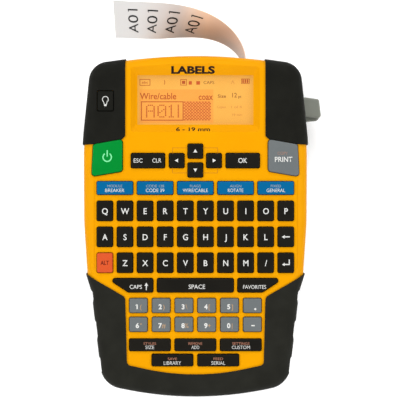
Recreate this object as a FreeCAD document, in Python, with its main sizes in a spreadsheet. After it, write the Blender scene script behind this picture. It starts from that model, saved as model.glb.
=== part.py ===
import FreeCAD, Part
import math
import os

import Sketcher
from FreeCAD import Placement, Rotation, Vector

# A hand-held label maker lying on its back: +X to its right, +Y towards the label exit, +Z out of the
# keyboard. The origin is on the surface it rests on, at the middle of its back. Millimetres.

doc = FreeCAD.newDocument("label_maker")
sheet = doc.addObject("Spreadsheet::Sheet", "dims")

DRIVING = (
    ("back_plane", 0.8, "back skin's outer face; the rubber and the rest rib stand below it"),
    ("front_plane", 50.0, "keyboard face"),
    ("parting_plane", 26.0, "where the two housings meet"),
    ("wall", 3.4, "side wall"),
    ("skin", 2.2, "back and front skins"),
    ("front_round", 5.5, "edge round of the front"),
    ("back_round", 4.5, "edge round of the back"),
    ("rubber_proud", 0.8, "rubber above the housing's face"),
    ("rubber_sunk", 1.0, "rubber below the housing's face"),
    ("key_pitch", 10.35, "letter keys, across"),
    ("row_pitch", 13.35, "letter keys, down"),
    ("key_width", 8.1, "letter key"),
    ("key_height", 10.1, "letter key"),
    ("letter_row_y", 8.1, "middle of the top letter row"),
    ("number_pitch", 11.73, "number keys, across"),
    ("key_proud", 1.3, "key top above the face"),
    ("key_travel", 0.8, "how far a key goes down"),
    ("key_gap", 0.32, "all round a key in its opening"),
    ("flange_height", 1.2, "flange that keeps a key in"),
    ("window_width", 59.9, "opening over the display"),
    ("window_height", 25.6, "opening over the display"),
    ("window_y", 65.45, "middle of the display"),
    ("recess_depth", 2.4, "sloping surround of the display"),
    ("plate_z", 29.0, "mechanism plate"),
    ("plate_thickness", 1.5, "mechanism plate"),
    ("board_z", 38.0, "main board"),
    ("board_thickness", 1.6, "main board"),
    ("mat_thickness", 1.4, "keypad mat"),
    ("tape_x", 26.6, "where the tape runs"),
    ("tape_z", 16.0, "middle of the tape's width"),
    ("tape_width", 19.0, "widest tape it takes"),
    ("tape_thickness", 0.25, "tape"),
    ("platen_radius", 5.0, "platen roller"),
    ("shaft_radius", 1.5, "platen shaft, lever pin and idler stud"),
    ("gear_module", 0.6, "all gears"),
    ("gear_z", 31.0, "underside of the gears"),
    ("gear_thickness", 2.0, "gears"),
    ("cell_radius", 7.0, "battery cell"),
    ("cell_length", 49.5, "battery cell without its stud"),
    ("cell_pitch", 14.1, "battery cells, side by side"),
    ("door_gap", 0.3, "round each door"),
    ("hinge_radius", 0.6, "door pins"),
    ("lever_throw", 17.0, "degrees the cutter lever turns"),
)
for row, (alias, value, note) in enumerate(DRIVING, 1):
    sheet.set(f"A{row}", alias)
    sheet.set(f"B{row}", str(value))
    sheet.set(f"C{row}", note)
    sheet.setAlias(f"B{row}", alias)
doc.recompute()


def num(expression):
    """The value of a number, or of an expression on the sheet, as a plain number."""
    if isinstance(expression, (int, float)):
        return float(expression)
    return float(sheet.evalExpression(expression))


# ---------------------------------------------------------------- outlines
# An outline is a list of corners (x, y, radius), joined by straight sides and tangent arcs.


def mirror(corners):
    """A half outline from the top of the middle line to its bottom, closed by its mirror image."""
    inner = [c for c in corners if abs(c[0]) > 1e-9]
    return corners + [(-x, y, r) for x, y, r in reversed(inner)]


def flip(corners):
    """The mirror image of an outline, in the same sense of turn."""
    return [(-x, y, r) for x, y, r in reversed(corners)]


def rectangle(x, y, width, height, radius=0.0):
    """Centre and size of a rectangle with rounded corners."""
    a, b = width / 2, height / 2
    return [(x + a, y + b, radius), (x + a, y - b, radius), (x - a, y - b, radius), (x - a, y + b, radius)]


def grow(corners, distance):
    """The outline moved outwards all round; its corners are given clockwise."""
    moved = []
    count = len(corners)
    for i, (x, y, radius) in enumerate(corners):
        before, after = corners[i - 1], corners[(i + 1) % count]
        into = Vector(x - before[0], y - before[1], 0).normalize()
        out = Vector(after[0] - x, after[1] - y, 0).normalize()
        normal_in, normal_out = Vector(-into.y, into.x, 0), Vector(-out.y, out.x, 0)
        share = distance / (1 + normal_in.dot(normal_out))
        shift = (normal_in + normal_out) * share
        convex = into.cross(out).z < 0
        new_radius = radius + (distance if convex else -distance)
        moved.append((x + shift.x, y + shift.y, max(new_radius, 0.0) if radius else 0.0))
    return moved


def edges_of(corners):
    """The outline as line segments and arcs, end to end."""
    count, stretches = len(corners), []
    for i, (x, y, radius) in enumerate(corners):
        here = Vector(x, y, 0)
        back = (Vector(*corners[i - 1][:2], 0) - here).normalize()
        ahead = (Vector(*corners[(i + 1) % count][:2], 0) - here).normalize()
        half_turn = (math.pi - back.getAngle(ahead)) / 2
        reach = radius * math.tan(half_turn)
        inward = (back + ahead).normalize() if reach else Vector()
        middle = here + inward * (radius / math.cos(half_turn) - radius)
        stretches.append((here + back * reach, middle, here + ahead * reach))
    edges = []
    for i, (start, middle, end) in enumerate(stretches):
        if (end - start).Length > 1e-6:
            edges.append(Part.Arc(start, middle, end))
        following = stretches[(i + 1) % count][0]
        if (following - end).Length > 1e-6:
            edges.append(Part.LineSegment(end, following))
    return edges


BODY = mirror(
    [
        (0, 91.0, 276),
        (53.7, 83.6, 9.5),
        (57.9, 43, 160),
        (57.7, 2, 120),
        (56.0, -24.5, 8),
        (53.1, -33.8, 6),
        (47.6, -81.5, 11.7),
        (0, -91.0, 180),
    ]
)
RIGHT_PATCH = [
    (36.1, 100, 0), (70, 100, 0), (70, 42.1, 0), (52.4, 42.4, 2), (38.0, 44.9, 1.2), (36.1, 46.6, 1.2),
]
GRIP_PATCH = mirror(
    [
        (0, -79.0, 120),
        (35.2, -71.2, 2.2),
        (36.1, -36.3, 3),
        (70, -16.8, 0),
        (70, -100, 0),
    ]
)
RECESS_TOP = mirror([(0, 85.2, 300), (33.3, 82.6, 1.5), (33.3, 48.7, 1.5), (0, 48.7, 0)])
RECESS_FLOOR = mirror([(0, 78.6, 300), (30.4, 78.4, 0.8), (30.4, 52.2, 0.8), (0, 52.2, 0)])


# ---------------------------------------------------------------- building blocks


def sketch_in(body, name, outlines, z):
    """A sketch on the body's own XY plane at height z. An outline is a list of corners, or one circle
    (x, y, radius), whose place and radius are bound to the sheet where they are expressions."""
    sketch = body.newObject("Sketcher::SketchObject", name)
    plane = [o for o in body.Origin.OriginFeatures if o.Role == "XY_Plane"][0]
    sketch.AttachmentSupport = (plane, [""])
    sketch.MapMode = "FlatFace"
    sketch.setExpression("AttachmentOffset.Base.z", str(z))
    for outline in outlines:
        first = sketch.GeometryCount
        if isinstance(outline, tuple):
            x, y, radius = outline
            sketch.addGeometry(Part.Circle(Vector(num(x), num(y), 0), Vector(0, 0, 1), num(radius)), False)
            sketch.setExpression(
                f"Constraints[{sketch.addConstraint(Sketcher.Constraint('Radius', first, num(radius)))}]",
                str(radius),
            )
            continue
        for piece in edges_of(outline):
            if not isinstance(piece, Part.LineSegment):
                shape = piece.toShape()
                piece = shape.Curve.trim(*shape.ParameterRange)
            sketch.addGeometry(piece, False)
    return sketch


def layered(label, *layers):
    """A body made upwards, one feature for each layer: (kind, outlines, z, height), kind pad or pocket.
    A pocket cuts from z upwards through its height."""
    body = doc.addObject("PartDesign::Body", label)
    for i, (kind, outlines, z, height) in enumerate(layers):
        sketch = sketch_in(body, f"{label}_sketch_{i}", outlines, z)
        doc.recompute()
        feature_type = "PartDesign::Pad" if kind == "pad" else "PartDesign::Pocket"
        feature = body.newObject(feature_type, f"{label}_{kind}_{i}")
        feature.Profile = sketch
        if kind == "pocket":
            feature.Reversed = True
        feature.setExpression("Length", str(height))
        before = 0.0 if body.Shape.isNull() else body.Shape.Volume
        doc.recompute()
        if kind == "pocket" and not body.Shape.Volume < before - 1e-6:
            raise RuntimeError(f"{label}: pocket {i} cuts nothing")
    return body


def prism(name, outlines, z, height):
    """A plain prism for a cut or a common, from the same kind of sketch."""
    return layered(name, ("pad", outlines, z, height))


def block(name, x, y, z, length, width, height):
    """A box from its middle in X and Y and its lowest Z, each an expression on the sheet or a number."""
    piece = doc.addObject("Part::Box", name)
    for side, size in (("Length", length), ("Width", width), ("Height", height)):
        piece.setExpression(side, str(size))
    piece.setExpression("Placement.Base.x", f"({x}) - ({length}) / 2")
    piece.setExpression("Placement.Base.y", f"({y}) - ({width}) / 2")
    piece.setExpression("Placement.Base.z", str(z))
    return piece


TURNS = {"X": Rotation(Vector(0, 1, 0), 90), "Y": Rotation(Vector(1, 0, 0), -90), "Z": Rotation()}


def rod(name, start, axis, radius, length):
    """A cylinder from its start point along X, Y or Z."""
    piece = doc.addObject("Part::Cylinder", name)
    piece.setExpression("Radius", str(radius))
    piece.setExpression("Height", str(length))
    piece.Placement.Rotation = TURNS[axis]
    for letter, place in zip("xyz", start):
        piece.setExpression(f"Placement.Base.{letter}", str(place))
    return piece


def fuse(name, *pieces):
    joined = doc.addObject("Part::MultiFuse", name)
    joined.Shapes = list(pieces)
    joined.Refine = True
    return joined


def cut(name, base, *tools):
    result = doc.addObject("Part::Cut", name)
    result.Base = base
    result.Tool = tools[0] if len(tools) == 1 else fuse(f"{name}_tools", *tools)
    result.Refine = True
    return result


def common(name, base, tool):
    result = doc.addObject("Part::Common", name)
    result.Base, result.Tool = base, tool
    result.Refine = True
    return result


def rounded(name, base, radius, chosen):
    """A fillet of one radius on the edges that chosen() picks."""
    doc.recompute()
    result = doc.addObject("Part::Fillet", name)
    result.Base = base
    result.Edges = [(i, radius, radius) for i, e in enumerate(base.Shape.Edges, 1) if chosen(e)]
    return result


def lies_at(z):
    """Picks the edges that lie flat at height z."""
    return lambda edge: abs(edge.BoundBox.ZMin - z) < 1e-4 and abs(edge.BoundBox.ZMax - z) < 1e-4


PARTS = []


def keep(label, piece):
    """Names a finished sub-part and puts it on the list of files."""
    piece.Label = label
    PARTS.append(piece)
    return piece


# ---------------------------------------------------------------- housings and rubber


def blank(name, outward):
    """The whole body's solid, moved outwards from the housing's own faces."""
    low, high = num("dims.back_plane") - outward, num("dims.front_plane") + outward
    solid = prism(f"{name}_prism", [grow(BODY, outward)], low, high - low)
    front = rounded(f"{name}_front", solid, num("dims.front_round") + outward, lies_at(high))
    return rounded(f"{name}_back", front, num("dims.back_round") + outward, lies_at(low))


BAND = 5.2  # rubber on the back, in from the edge
LEVER_SLOT = ("lever_slot", 56, 59.6, 8.4, 16, 21.6, 15.2)
LIGHT_KEY = rectangle(-46.3, 64.7, 8.3, 10.3, 0.7)
POWER_KEY = [(-37.5, 45.0, 1.5), (-37.5, 28.5, 1.6), (-53.4, 25.8, 1.6), (-52.6, 42.3, 1.4)]
SHOULDER_KEY = [(-21.8, -26.65, 0.9), (-21.8, -33.75, 0.9), (-34.5, -33.75, 1.6), (-45.3, -26.65, 1.2)]


def rubber(label, patch, *cuts):
    """A rubber bumper: a skin round the body, inside a patch seen from the front, and a band at the back."""
    outer = blank(f"{label}_outer", num("dims.rubber_proud"))
    inner = blank(f"{label}_inner", -num("dims.rubber_sunk"))
    skin = cut(f"{label}_skin", outer, inner)
    region = prism(f"{label}_region", [patch], -5, 65)
    middle = prism(f"{label}_middle", [grow(BODY, -BAND)], -5, 10)
    return cut(f"{label}_cut", common(f"{label}_patch", skin, region), middle, *cuts)


FINGER_BANDS = ((-33.8, -37.6), (-49.4, -56.6), (-68.2, -74.6))


def side_x(y):
    """The housing's own side at the lower grip."""
    if y > -33.8:
        return 53.1 + 2.9 * (y + 33.8) / 9.3
    return 53.1 - 5.5 * (-33.8 - y) / 47.7


def finger_bands():
    """Low bands down both sides of the lower grip, stepped at their upper ends, for the fingers."""
    proud = num("dims.rubber_proud")
    outlines = []
    for top, bottom in FINGER_BANDS:
        edge = [(top + 1.2, proud), (top, 0.0), (bottom, 0.0), (bottom - 2.4, proud)]
        inner = [(side_x(y) + out + 0.05, y, 0.0) for y, out in reversed(edge)]
        band = inner + [(70, top + 1.2, 0.0), (70, bottom - 2.4, 0.0)]
        outlines += [band, flip(band)]
    return prism("finger_bands", outlines, -5, 65)


light_opening = prism("light_opening", [grow(LIGHT_KEY, num("dims.key_gap"))], 40, 15)
upper_keys = [grow(outline, num("dims.key_gap")) for outline in (POWER_KEY, flip(POWER_KEY))]
upper_openings = prism("upper_key_openings", upper_keys, 40, 15)
left_bumper = rubber("left_bumper", flip(RIGHT_PATCH), light_opening, upper_openings)
right_bumper = rubber("right_bumper", RIGHT_PATCH, block(*LEVER_SLOT), upper_openings)
grip_bumper = rubber("grip_bumper", GRIP_PATCH, finger_bands())
BUMPERS = (left_bumper, right_bumper, grip_bumper)


# ---------------------------------------------------------------- keys


def letter_row(count, row, first=0):
    """Letter keys of one row, from place first of the ten across."""
    pitch, size = num("dims.key_pitch"), (num("dims.key_width"), num("dims.key_height"))
    y = num("dims.letter_row_y") - row * num("dims.row_pitch")
    return [rectangle((i - 4.5) * pitch, y, *size, 0.8) for i in range(first, first + count)]


def number_row(y):
    return [rectangle((i - 2.5) * num("dims.number_pitch"), y, 9.25, 7.4, 0.7) for i in range(6)]


KEYS = {
    "power_key": [POWER_KEY],
    "print_key": [flip(POWER_KEY)],
    "escape_clear_key": [rectangle(-24.4, 34.0, 17.3, 7.5, 0.7)],
    "ok_key": [rectangle(24.4, 34.0, 17.3, 7.5, 0.7)],
    "up_key": [rectangle(0, 38.85, 7.7, 7.4, 0.7)],
    "down_key": [rectangle(0, 29.15, 7.7, 7.4, 0.7)],
    "left_key": [rectangle(-9.6, 34.0, 7.7, 7.4, 0.7)],
    "right_key": [rectangle(9.6, 34.0, 7.7, 7.4, 0.7)],
    "label_type_keys": [rectangle(i * 2 * num("dims.key_pitch"), 19.9, 18.5, 6.7, 0.6) for i in range(-2, 3)],
    "top_letter_keys": letter_row(10, 0),
    "middle_letter_keys": letter_row(9, 1),
    "backspace_key": letter_row(1, 1, 9),
    "alt_key": letter_row(1, 2),
    "bottom_letter_keys": letter_row(8, 2, 1),
    "enter_key": letter_row(1, 2, 9),
    "caps_key": [SHOULDER_KEY],
    "space_key": [rectangle(0, -30.2, 39.3, 7.1, 0.9)],
    "favourites_key": [flip(SHOULDER_KEY)],
    "upper_number_keys": number_row(-40.6),
    "lower_number_keys": number_row(-50.3),
    "format_keys": [rectangle(i * 23.4, -60.85, 21.1, 6.1, 0.7) for i in (-1, 0, 1)],
    "library_keys": [rectangle(i * 11.8, -68.7, 21.1, 6.1, 0.7) for i in (-1, 1)],
    "light_button": [LIGHT_KEY],
}
NARROW_FLANGE = ("power_key", "print_key")


def key(label, outlines):
    """Key caps with a flange under the skin and a stem over the mat, their top edges rounded."""
    sunk = 0.5 if label == "light_button" else 0.0
    lip = 0.4 if label in NARROW_FLANGE else 0.7
    flange_z = num("dims.front_plane - dims.skin - dims.flange_height") - 0.4
    top = num("dims.front_plane + dims.key_proud") - sunk
    base = layered(
        label,
        ("pad", [grow(o, -1.6) for o in outlines], flange_z - 3.2, 3.2),
        ("pad", [grow(o, lip) for o in outlines], flange_z, "dims.flange_height"),
        ("pad", outlines, f"{flange_z} + dims.flange_height", top - flange_z - num("dims.flange_height")),
    )
    edge = base.newObject("PartDesign::Fillet", f"{label}_edge")
    pad = base.Group[-2]
    picked = [f"Edge{i}" for i, e in enumerate(pad.Shape.Edges, 1) if lies_at(top)(e)]
    edge.Base = (pad, picked)
    edge.Radius = 0.6
    return keep(label, base)


for label, outlines in KEYS.items():
    key(label, outlines)
ALL_KEYS = [o for outlines in KEYS.values() for o in outlines]


def middle_of(outline):
    """The middle of an outline's corners."""
    return tuple(sum(c[k] for c in outline) / len(outline) for k in (0, 1))


# ---------------------------------------------------------------- front housing

BOSSES = ((51.2, 2.0), (-51.2, 2.0), (22.0, -80.0), (-22.0, -80.0), (-30.0, 80.8), (8.0, 82.3))
INSIDE = grow(BODY, -num("dims.wall"))


def cavity(name):
    height = num("dims.front_plane - dims.back_plane - 2 * dims.skin")
    return prism(name, [INSIDE], "dims.back_plane + dims.skin", height)


def build_front_housing():
    half = common(
        "front_half",
        blank("front_blank", 0.0),
        block("front_space", 0, 0, "dims.parting_plane", 140, 220, 40),
    )
    recess_low = num("dims.front_plane - dims.recess_depth")
    frame = block("display_frame", 0, 65.3, recess_low - 3.0, 68, 35, 3.6)
    hollow = cut("front_hollow", half, cavity("front_cavity"))
    shell = fuse("front_shell", hollow, common("front_frame", frame, blank("frame_limit", -0.5)))

    top_body = doc.addObject("PartDesign::Body", "recess_top_body")
    top = sketch_in(top_body, "recess_top", [RECESS_TOP], "dims.front_plane")
    floor_body = doc.addObject("PartDesign::Body", "recess_floor_body")
    floor = sketch_in(floor_body, "recess_floor", [RECESS_FLOOR], recess_low)
    recess = doc.addObject("Part::Loft", "display_recess")
    recess.Sections, recess.Solid, recess.Ruled = [floor, top], True, True
    above = prism("above_recess", [RECESS_TOP], "dims.front_plane", 2)
    window = block("window_opening", 0, "dims.window_y", 40, "dims.window_width", "dims.window_height", 12)
    rebate_size = ("dims.window_width + 2.4", "dims.window_height + 2.4", 6.9)
    rebate = block("window_rebate", 0, "dims.window_y", 40, *rebate_size)
    openings = prism("key_openings", [grow(o, num("dims.key_gap")) for o in ALL_KEYS], 40, 15)

    bosses = common(
        "boss_limit",
        prism("front_bosses", [(x, y, 3.6) for x, y in BOSSES], "dims.parting_plane", 11),
        prism("boss_space", [grow(BODY, -1.5)], 20, 25),
    )
    holes = prism("boss_holes", [(x, y, 1.5) for x, y in BOSSES], 20, 16)
    solid = fuse("front_with_bosses", shell, bosses)
    return cut("front_cut", solid, recess, above, window, rebate, openings, holes, *BUMPERS)


keep("front_housing", build_front_housing())

# ---------------------------------------------------------------- rear housing and its doors

CASSETTE_DOOR = {"left": -46.0, "right": 30.0, "hinge": 10.0, "top": 73.5}
BATTERY_DOOR = {"left": -42.3, "right": 42.3, "hinge": -66.0, "top": -8.0}
LUG = 3.0  # width of the housing's hinge lugs
PLATE_POSTS = ((-48.8, 22.0), (-48.8, 69.0), (48.8, 20.0), (38.5, 54.0))
PLATEN = (31.9, 66.0)
IDLER = (32.4, 48.02)
SPINDLE = (13.5, 51.35)
MOTOR = (41.0, 35.0)
LEVER = (42.0, 65.5)
SOCKET = (13.0, 14.0)  # y and z of the power socket


def door_parts(name, door, gap):
    """A door's plate with notches for the lugs and a full-round hinge edge; gap grows it for its opening."""
    left, right = door["left"] - gap, door["right"] + gap
    hinge, top = door["hinge"], door["top"] + gap
    radius = num("dims.skin") / 2
    middle = num("dims.back_plane") + radius
    low, high = num("dims.back_plane"), num("dims.skin")
    if gap:
        low, high = low - 1, high + 2
    width, centre = right - left, (left + right) / 2
    notch = 2.3 - gap
    upper = block(f"{name}_upper", centre, (hinge + notch + top) / 2, low, width, top - hinge - notch, high)
    inner = width - 2 * LUG
    lower = block(f"{name}_lower", centre, hinge + notch / 2 + 0.05, low, inner, notch + 0.1, high)
    pieces = [upper, lower]
    if gap:
        round_y = hinge - radius / 2 - gap
        pieces.append(block(f"{name}_knuckle", centre, round_y, low, inner, radius + 2 * gap, high))
    else:
        pieces.append(rod(f"{name}_knuckle", (centre - inner / 2, hinge, middle), "X", radius, inner))
        pieces.append(rod(f"{name}_pins", (left + 0.4, hinge, middle), "X", "dims.hinge_radius", width - 0.8))
    return fuse(name, *pieces)


def grip_lines(name, centre, y):
    """Five shallow grooves for a thumb."""
    low = num("dims.back_plane") - 1
    return fuse(name, *[block(f"{name}_{i}", centre, y - 2.0 * i, low, 18, 0.9, 1.4) for i in range(5)])


def build_rear_housing():
    half = common(
        "rear_half",
        blank("rear_blank", 0.0),
        block("rear_space", 0, 0, -5, 140, 220, "dims.parting_plane + 5"),
    )
    rest_rib = prism("rest_rib", [rectangle(0, 0, 64, 7, 3)], 0, "dims.back_plane + 1")
    shell = fuse("rear_shell", cut("rear_hollow", half, cavity("rear_cavity")), rest_rib)

    inside = num("dims.back_plane + dims.skin")
    well_height = num("dims.parting_plane") - 1.8
    wells = common(
        "well_limit",
        prism("screw_wells", [(x, y, 4.2) for x, y in BOSSES], "dims.back_plane + 1", well_height),
        prism("well_space", [grow(BODY, -1.5)], 0, 30),
    )
    posts = layered(
        "plate_posts",
        ("pad", [(x, y, 2.2) for x, y in PLATE_POSTS], inside, f"dims.plate_z - {inside}"),
        ("pad", [(x, y, 1.2) for x, y in PLATE_POSTS], "dims.plate_z", "dims.plate_thickness"),
    )
    bearings = layered(
        "bearings",
        ("pad", [(*LEVER, 3.2)], inside, 5.4),
        ("pad", [(*PLATEN, 2.6)], inside, 2.4),
        ("pocket", [(*LEVER, "dims.shaft_radius")], inside + 0.4, 5),
        ("pocket", [(*PLATEN, 1.06)], inside + 0.4, 5),
    )
    solid = fuse("rear_with_posts", shell, wells, posts, bearings)

    heads = prism("screw_heads", [(x, y, 3.2) for x, y in BOSSES], -2, 22)
    holes = prism("screw_holes", [(x, y, 1.65) for x, y in BOSSES], -2, 30)
    openings, sockets = [], []
    axis_z = num("dims.back_plane + dims.skin / 2")
    for label, door in (("cassette", CASSETTE_DOOR), ("battery", BATTERY_DOOR)):
        start = (door["left"] + 0.2, door["hinge"], axis_z)
        length = door["right"] - door["left"] - 0.4
        openings.append(door_parts(f"{label}_opening", door, num("dims.door_gap")))
        sockets.append(rod(f"{label}_sockets", start, "X", num("dims.hinge_radius") + 0.05, length))
    label_slot = block("label_slot", "dims.tape_x", 84, 5.6, 1.6, 12, "dims.parting_plane - 5.6")
    socket_hole = rod("socket_hole", (-60, *SOCKET), "X", 4.3, 8)
    lever_window = block("lever_window", *LEVER_SLOT[1:])
    holes_in_walls = (label_slot, socket_hole, lever_window)
    return cut("rear_cut", solid, heads, holes, *openings, *sockets, *holes_in_walls, *BUMPERS)


keep("rear_housing", build_rear_housing())
keep("left_bumper", left_bumper)
keep("right_bumper", right_bumper)
keep("grip_bumper", grip_bumper)
cassette_plate = door_parts("cassette_door_plate", CASSETTE_DOOR, 0.0)
keep("cassette_door", cut("cassette_door_cut", cassette_plate, grip_lines("cassette_grip", -8, 70.0)))
battery_plate = door_parts("battery_door_plate", BATTERY_DOOR, 0.0)
keep("battery_door", cut("battery_door_cut", battery_plate, grip_lines("battery_grip", 0, -12.0)))

# ---------------------------------------------------------------- display and electronics

WINDOW_Z = "dims.front_plane - dims.recess_depth - 0.7 - 1.6"
window_size = ("dims.window_width + 2", "dims.window_height + 2", 1.6)
keep("display_window", block("display_window_box", 0, "dims.window_y", WINDOW_Z, *window_size))


def build_display():
    split = 42.2
    board_top = num("dims.board_z + dims.board_thickness")
    glass = block("display_glass", 0, "dims.window_y", split, 64, 29, 2.4)
    light_guide = block("display_back", 0, "dims.window_y", board_top, 66, 31, split - board_top)
    return fuse("display_stack", glass, light_guide)


keep("display_module", build_display())

BOARD_HOLES = ((-46, -24), (46, -24), (-30, 45.5), (30, 45.5))
board_outline = grow(BODY, -4.4)
chips = [rectangle(-20, -20, 14, 14), rectangle(10, -30, 9, 12), rectangle(25, 20, 6, 8)]
keep(
    "main_board",
    layered(
        "board",
        ("pad", [board_outline], "dims.board_z", "dims.board_thickness"),
        ("pad", chips, "dims.board_z - 1.4", 1.4),
        ("pocket", [(x, y, 1.6) for x, y in BOARD_HOLES], "dims.board_z", "dims.board_thickness"),
    ),
)


def build_keypad_mat():
    z = "dims.board_z + dims.board_thickness"
    domes = [(*middle_of(o), 2.0) for o in ALL_KEYS]
    sheet_with_domes = layered(
        "mat",
        ("pad", [grow(BODY, -4.8)], z, "dims.mat_thickness"),
        ("pad", domes, f"{z} + dims.mat_thickness", 0.8),
    )
    return cut("mat_cut", sheet_with_domes, block("mat_display_gap", 0, 75, 30, 67, 58, 20))


keep("keypad_mat", build_keypad_mat())
socket_body = block("socket_body", -47.6, SOCKET[0], SOCKET[1] - 5.5, 13.2, 9, 11)
socket_bore = rod("socket_bore", (-56, *SOCKET), "X", 3.1, 11)
socket_pin = rod("socket_pin", (-54, *SOCKET), "X", 1.0, 10)
keep("power_socket", fuse("socket_with_pin", cut("socket_shell", socket_body, socket_bore), socket_pin))

# ---------------------------------------------------------------- batteries


def cell_places():
    return [(i - 2.5) * num("dims.cell_pitch") for i in range(6)]


CELL_Z = 10.5
CELL_LOW = -60.6


def build_cells():
    """Six cells side by side, every second one the other way up."""
    cells = []
    for i, x in enumerate(cell_places()):
        can = rod(f"cell_{i}", (x, CELL_LOW + (i % 2), CELL_Z), "Y", "dims.cell_radius", "dims.cell_length")
        stud_y = CELL_LOW if i % 2 else CELL_LOW + num("dims.cell_length")
        cells.append(fuse(f"cell_with_stud_{i}", can, rod(f"stud_{i}", (x, stud_y, CELL_Z), "Y", 2.7, 1.0)))
    group = doc.addObject("Part::Compound", "cells")
    group.Links = cells
    return group


keep("battery_cells", build_cells())


def build_tray():
    inside = num("dims.back_plane + dims.skin")
    outer = rectangle(0, -36.1, 87.6, 55.8)
    inner = rectangle(0, -36.1, 85.2, 53.4)
    return layered(
        "tray",
        ("pad", [outer], inside, 16.4),
        ("pocket", [inner], inside, 15.2),
    )


keep("battery_tray", build_tray())


def build_contacts():
    """Contact leaves at both ends of the tray, each pressed against the end of a cell."""
    high_end = CELL_LOW + num("dims.cell_length") + 1.0
    leaves = []
    for i, x in enumerate(cell_places()):
        low_leaf = block(f"low_leaf_{i}", x, -62.6, 6, 9, 0.4, 9)
        low_bump = rod(f"low_bump_{i}", (x, -62.4, CELL_Z), "Y", 1.8, CELL_LOW + 62.4)
        high_leaf = block(f"high_leaf_{i}", x, -9.6, 6, 9, 0.4, 9)
        high_bump = rod(f"high_bump_{i}", (x, high_end, CELL_Z), "Y", 1.8, -9.8 - high_end)
        leaves.append(fuse(f"low_contact_{i}", low_leaf, low_bump))
        leaves.append(fuse(f"high_contact_{i}", high_leaf, high_bump))
    group = doc.addObject("Part::Compound", "contacts")
    group.Links = leaves
    return group


keep("battery_contacts", build_contacts())

# ---------------------------------------------------------------- printing mechanism


def gear_outline(centre, teeth, phase):
    """A gear's edge: six points a tooth, thinned a little so that a pair turns freely."""
    module = num("dims.gear_module")
    pitch_angle = 2 * math.pi / teeth
    flank = ((-1.2, -0.31), (0.0, -0.215), (0.9, -0.11), (0.9, 0.11), (0.0, 0.215), (-1.2, 0.31))
    points = []
    for tooth in range(teeth):
        for height, share in flank:
            radius = module * (teeth / 2 + height)
            angle = -(phase + (tooth + share) * pitch_angle)
            points.append((centre[0] + radius * math.cos(angle), centre[1] + radius * math.sin(angle), 0.0))
    return points


def meshed_phase(centre, teeth, phase, other, other_teeth):
    """The phase that puts a gap of the other gear where this gear has a tooth."""
    direction = math.atan2(other[1] - centre[1], other[0] - centre[0])
    turn = (-direction - phase) * teeth / (2 * math.pi)
    return -(direction + math.pi) + (2 * math.pi / other_teeth) * (0.5 + turn)


PLATEN_TEETH, IDLER_TEETH, SPINDLE_TEETH, MOTOR_TEETH = 20, 40, 24, 12
platen_phase = 0.0
idler_phase = meshed_phase(PLATEN, PLATEN_TEETH, platen_phase, IDLER, IDLER_TEETH)
spindle_phase = meshed_phase(IDLER, IDLER_TEETH, idler_phase, SPINDLE, SPINDLE_TEETH)
motor_phase = meshed_phase(IDLER, IDLER_TEETH, idler_phase, MOTOR, MOTOR_TEETH)

plate_outline = rectangle(0, 45.0, 101.2, 56.0, 3.0)
plate_holes = [
    (*PLATEN, "dims.shaft_radius + 0.06"),
    (*SPINDLE, 3.7),
    (*MOTOR, 3.0),
    (*LEVER, "dims.shaft_radius"),
]
plate_holes += [(x, y, 1.2) for x, y in PLATE_POSTS]
keep(
    "mechanism_plate",
    layered(
        "plate",
        ("pad", [plate_outline], "dims.plate_z", "dims.plate_thickness"),
        ("pocket", plate_holes, "dims.plate_z", "dims.plate_thickness"),
        ("pad", [(*IDLER, num("dims.shaft_radius") - 0.05)], "dims.plate_z + dims.plate_thickness", 4.0),
    ),
)
keep(
    "platen_roller",
    layered(
        "roller",
        ("pad", [(*PLATEN, "dims.platen_radius")], "dims.tape_z - dims.tape_width / 2", "dims.tape_width"),
        ("pocket", [(*PLATEN, "dims.shaft_radius")], "dims.tape_z - dims.tape_width / 2", "dims.tape_width"),
    ),
)
keep(
    "platen_shaft",
    layered(
        "platen_axle",
        ("pad", [(*PLATEN, 1.0)], 3.6, 2.4),
        ("pad", [(*PLATEN, "dims.shaft_radius")], 6.0, "dims.gear_z + dims.gear_thickness - 5"),
    ),
)
keep(
    "platen_gear",
    layered(
        "platen_wheel",
        ("pad", [gear_outline(PLATEN, PLATEN_TEETH, platen_phase)], "dims.gear_z", "dims.gear_thickness"),
        ("pocket", [(*PLATEN, "dims.shaft_radius")], "dims.gear_z", "dims.gear_thickness"),
    ),
)
keep(
    "idler_gear",
    layered(
        "idler_wheel",
        ("pad", [gear_outline(IDLER, IDLER_TEETH, idler_phase)], "dims.gear_z", "dims.gear_thickness"),
        ("pocket", [(*IDLER, "dims.shaft_radius")], "dims.gear_z", "dims.gear_thickness"),
    ),
)
keep(
    "ribbon_spindle",
    layered(
        "spindle",
        ("pad", [gear_outline(SPINDLE, SPINDLE_TEETH, spindle_phase)], "dims.gear_z", "dims.gear_thickness"),
        ("pad", [(*SPINDLE, 3.6)], 12.0, "dims.gear_z - 12"),
        ("pad", [gear_outline(SPINDLE, 8, 0.0)], 7.0, 5.0),
    ),
)
keep(
    "motor_pinion",
    layered(
        "pinion",
        ("pad", [(*MOTOR, 1.0)], 27.5, "dims.gear_z - 27.5"),
        ("pad", [gear_outline(MOTOR, MOTOR_TEETH, motor_phase)], "dims.gear_z", "dims.gear_thickness"),
    ),
)
keep(
    "feed_motor",
    layered(
        "motor",
        ("pad", [(*MOTOR, 8.5)], 5.0, 22.5),
        ("pad", [(*MOTOR, 2.9)], 27.5, 1.5),
        ("pocket", [(*MOTOR, 1.05)], 26.5, 3),
    ),
)
HEAD_LENGTH = 11.0
bracket_size = (5.1, HEAD_LENGTH + 1, "dims.plate_z - 5")
keep("head_bracket", block("head_bracket_box", 23.05, PLATEN[1], 5.0, *bracket_size))
keep("print_head", block("print_head_box", 25.9, PLATEN[1], 6.0, 0.6, HEAD_LENGTH, 20.0))

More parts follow.
